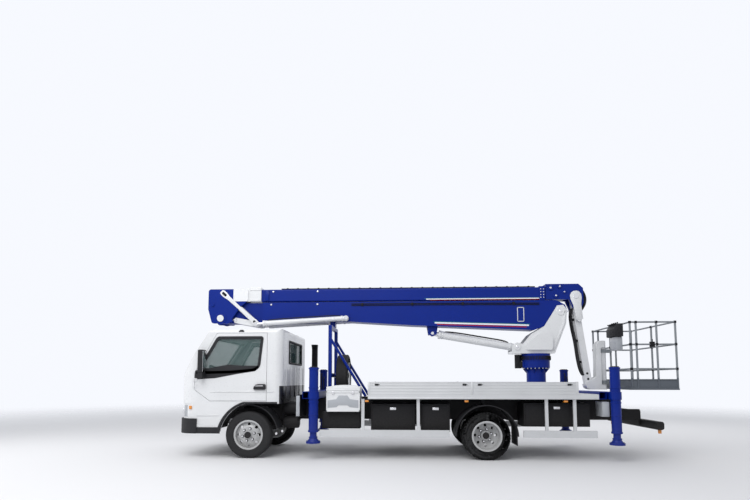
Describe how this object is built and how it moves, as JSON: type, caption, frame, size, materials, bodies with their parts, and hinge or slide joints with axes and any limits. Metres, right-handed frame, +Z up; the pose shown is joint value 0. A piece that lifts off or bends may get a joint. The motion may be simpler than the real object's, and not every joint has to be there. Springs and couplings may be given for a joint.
{
  "type": "cherry picker truck",
  "caption": "Parked two-axle light truck with hollow cab, outriggers, turret, folded and telescopic booms, hanging jib and work basket.",
  "frame": {"origin": "on the ground under the middle of the whole outline", "axes": "-X is the front of the truck, +X its rear, -Y its left side, +Z up"},
  "size_m": [8.15, 2.32, 2.976],
  "materials": {
    "white_paint": "gloss",
    "blue_paint": "gloss",
    "black_plastic": "textured",
    "tyre": "matt",
    "wheel_paint": "satin",
    "glass": "clear",
    "aluminium": "satin",
    "grey_steel": "satin",
    "lamp": "clear",
    "dark_metal": "satin",
    "chrome_rod": "polished"
  },
  "bodies": {
    "root": {"chassis_frame": "dark_metal", "front_axle": "dark_metal", "rear_axle": "dark_metal", "engine_block": "dark_metal", "cab_shell": "white_paint", "cab_glass": "glass", "front_skirt": "white_paint", "headlamps": "lamp", "cab_interior": "black_plastic", "deck": "aluminium", "mudguards": "black_plastic", "side_guards": "aluminium", "toolbox": "white_paint", "lockers": "dark_metal", "spare_wheel": "tyre", "boom_support": "blue_paint", "outrigger_housings": "blue_paint", "pedestal": "blue_paint"},
    "door_left": {"door_left": "white_paint", "door_glass_left": "glass", "mirror_left": "black_plastic"},
    "knuckle_left": {"knuckle_left": "dark_metal"},
    "wheel_front_left": {"tyre_front_left": "tyre", "wheel_front_left": "wheel_paint"},
    "outrigger_front_left": {"outrigger_front_left": "blue_paint"},
    "jack_leg_front_left": {"jack_leg_front_left": "blue_paint"},
    "wheel_rear_left": {"tyre_rear_left": "tyre", "wheel_rear_left": "wheel_paint"},
    "outrigger_rear_left": {"outrigger_rear_left": "blue_paint"},
    "jack_leg_rear_left": {"jack_leg_rear_left": "blue_paint"},
    "door_right": {"door_right": "white_paint", "door_glass_right": "glass", "mirror_right": "black_plastic"},
    "knuckle_right": {"knuckle_right": "dark_metal"},
    "wheel_front_right": {"tyre_front_right": "tyre", "wheel_front_right": "wheel_paint"},
    "outrigger_front_right": {"outrigger_front_right": "blue_paint"},
    "jack_leg_front_right": {"jack_leg_front_right": "blue_paint"},
    "wheel_rear_right": {"tyre_rear_right": "tyre", "wheel_rear_right": "wheel_paint"},
    "outrigger_rear_right": {"outrigger_rear_right": "blue_paint"},
    "jack_leg_rear_right": {"jack_leg_rear_right": "blue_paint"},
    "steering_wheel": {"steering_wheel": "black_plastic"},
    "toolbox_lid": {"toolbox_lid": "white_paint"},
    "turret": {"turret": "white_paint"},
    "lower_boom": {"lower_boom": "blue_paint"},
    "lift_barrel": {"lift_barrel": "white_paint"},
    "lift_rod": {"lift_rod": "chrome_rod"},
    "fold_barrels": {"fold_barrels": "white_paint"},
    "fold_rods": {"fold_rods": "chrome_rod"},
    "rockers": {"rockers": "white_paint"},
    "links": {"links": "white_paint"},
    "inner_boom": {"inner_boom": "blue_paint"},
    "jib": {"jib": "white_paint"},
    "basket_carrier": {"basket_carrier": "white_paint"},
    "upper_boom": {"upper_boom": "blue_paint", "upper_boom_foot": "white_paint", "knuckle_plates": "blue_paint"},
    "basket": {"basket": "grey_steel", "control_box": "black_plastic"}
  },
  "joints": [
    {"name": "door_left_hinge", "type": "hinge", "parent": "root", "child": "door_left", "pos_m": [-3.775, -1.01, 1.22], "axis": [0, 0, -1], "range_deg": [0, 70]},
    {"name": "steer_left", "type": "hinge", "parent": "root", "child": "knuckle_left", "pos_m": [-2.875, -0.705, 0.376], "axis": [0, 0, 1], "range_deg": [-35, 35]},
    {"name": "wheel_front_left_spin", "type": "hinge", "parent": "knuckle_left", "child": "wheel_front_left", "pos_m": [-2.875, -0.862, 0.376], "axis": [0, 1, 0], "continuous": true},
    {"name": "wheel_rear_left_spin", "type": "hinge", "parent": "root", "child": "wheel_rear_left", "pos_m": [0.975, -0.779, 0.376], "axis": [0, 1, 0], "continuous": true},
    {"name": "door_right_hinge", "type": "hinge", "parent": "root", "child": "door_right", "pos_m": [-3.775, 1.01, 1.22], "axis": [0, 0, 1], "range_deg": [0, 70]},
    {"name": "steer_right", "type": "hinge", "parent": "root", "child": "knuckle_right", "pos_m": [-2.875, 0.705, 0.376], "axis": [0, 0, 1], "range_deg": [-35, 35]},
    {"name": "wheel_front_right_spin", "type": "hinge", "parent": "knuckle_right", "child": "wheel_front_right", "pos_m": [-2.875, 0.862, 0.376], "axis": [0, 1, 0], "continuous": true},
    {"name": "wheel_rear_right_spin", "type": "hinge", "parent": "root", "child": "wheel_rear_right", "pos_m": [0.975, 0.779, 0.376], "axis": [0, 1, 0], "continuous": true},
    {"name": "steering_wheel_turn", "type": "hinge", "parent": "root", "child": "steering_wheel", "pos_m": [-3.515, -0.56, 1.398], "axis": [0.5736, 0, 0.8192], "range_deg": [-640, 640]},
    {"name": "toolbox_lid_hinge", "type": "hinge", "parent": "root", "child": "toolbox_lid", "pos_m": [-1.315, -0.6, 1.1], "axis": [-1, 0, 0], "range_deg": [0, 95]},
    {"name": "outrigger_front_left_slide", "type": "slide", "parent": "root", "child": "outrigger_front_left", "axis": [0, -1, 0], "range_m": [0, 0.55]},
    {"name": "jack_leg_front_left_slide", "type": "slide", "parent": "outrigger_front_left", "child": "jack_leg_front_left", "axis": [0, 0, -1], "range_m": [0, 0.25]},
    {"name": "outrigger_front_right_slide", "type": "slide", "parent": "root", "child": "outrigger_front_right", "axis": [0, 1, 0], "range_m": [0, 0.55]},
    {"name": "jack_leg_front_right_slide", "type": "slide", "parent": "outrigger_front_right", "child": "jack_leg_front_right", "axis": [0, 0, -1], "range_m": [0, 0.25]},
    {"name": "outrigger_rear_left_slide", "type": "slide", "parent": "root", "child": "outrigger_rear_left", "axis": [0, -1, 0], "range_m": [0, 0.55]},
    {"name": "jack_leg_rear_left_slide", "type": "slide", "parent": "outrigger_rear_left", "child": "jack_leg_rear_left", "axis": [0, 0, -1], "range_m": [0, 0.25]},
    {"name": "outrigger_rear_right_slide", "type": "slide", "parent": "root", "child": "outrigger_rear_right", "axis": [0, 1, 0], "range_m": [0, 0.55]},
    {"name": "jack_leg_rear_right_slide", "type": "slide", "parent": "outrigger_rear_right", "child": "jack_leg_rear_right", "axis": [0, 0, -1], "range_m": [0, 0.25]},
    {"name": "turret_slew", "type": "hinge", "parent": "root", "child": "turret", "pos_m": [2.025, 0, 1.733], "axis": [0, 0, 1], "range_deg": [-190, 190]},
    {"name": "lower_boom_lift", "type": "hinge", "parent": "turret", "child": "lower_boom", "pos_m": [2.436, 0, 2.482], "axis": [0, 1, 0], "range_deg": [0, 70]},
    {"name": "upper_boom_fold", "type": "hinge", "parent": "lower_boom", "child": "upper_boom", "pos_m": [-3.671, 0, 2.39], "axis": [0, -1, 0], "range_deg": [0, 150]},
    {"name": "lift_barrel_pivot", "type": "hinge", "parent": "turret", "child": "lift_barrel", "pos_m": [1.665, 0, 1.85], "axis": [0, 1, 0], "range_deg": [0, 76]},
    {"name": "lift_rod_slide", "type": "slide", "parent": "lift_barrel", "child": "lift_rod", "axis": [-0.985, 0, 0.1726], "range_m": [0, 1.16]},
    {"name": "fold_barrel_pivot", "type": "hinge", "parent": "lower_boom", "child": "fold_barrels", "pos_m": [-1.362, 0, 2.37], "axis": [0, 1, 0], "range_deg": [0, 20]},
    {"name": "fold_rod_slide", "type": "slide", "parent": "fold_barrels", "child": "fold_rods", "axis": [-0.9985, 0, -0.0551], "range_m": [0, 0.32]},
    {"name": "rocker_pivot", "type": "hinge", "parent": "lower_boom", "child": "rockers", "pos_m": [-3.415, 0, 2.36], "axis": [0, -1, 0], "range_deg": [0, 90]},
    {"name": "link_pivot", "type": "hinge", "parent": "rockers", "child": "links", "pos_m": [-2.992, 0, 2.28], "axis": [0, 1, 0], "range_deg": [0, 30]},
    {"name": "inner_boom_slide", "type": "slide", "parent": "upper_boom", "child": "inner_boom", "axis": [1, 0, 0], "range_m": [0, 3.2]},
    {"name": "jib_luff", "type": "hinge", "parent": "inner_boom", "child": "jib", "pos_m": [2.716, 0, 2.748], "axis": [0, -1, 0], "range_deg": [0, 120]},
    {"name": "basket_level", "type": "hinge", "parent": "jib", "child": "basket_carrier", "pos_m": [2.926, 0, 1.186], "axis": [0, -1, 0], "range_deg": [-120, 0]},
    {"name": "basket_yaw", "type": "hinge", "parent": "basket_carrier", "child": "basket", "pos_m": [3.21, 0, 1.5], "axis": [0, 0, 1], "range_deg": [-90, 90]}
  ],
  "couplings": [
    {"joint": "steer_right", "follows": "steer_left", "ratio": 1},
    {"joint": "steering_wheel_turn", "follows": "steer_left", "ratio": 18},
    {"joint": "turret_slew", "follows": "lower_boom_lift", "ratio": 2.5714},
    {"joint": "upper_boom_fold", "follows": "lower_boom_lift", "ratio": 1},
    {"joint": "lift_barrel_pivot", "follows": "lower_boom_lift", "ratio": 1.0353},
    {"joint": "lift_rod_slide", "follows": "lower_boom_lift", "m_per_rad": 0.9334},
    {"joint": "fold_barrel_pivot", "follows": "lower_boom_lift", "ratio": 0.211},
    {"joint": "fold_rod_slide", "follows": "lower_boom_lift", "m_per_rad": 0.2429},
    {"joint": "rocker_pivot", "follows": "lower_boom_lift", "ratio": 1.1203},
    {"joint": "link_pivot", "follows": "lower_boom_lift", "ratio": 0.3533},
    {"joint": "basket_level", "follows": "jib_luff", "ratio": -1},
    {"joint": "basket_yaw", "follows": "jib_luff", "ratio": 0.75}
  ]
}
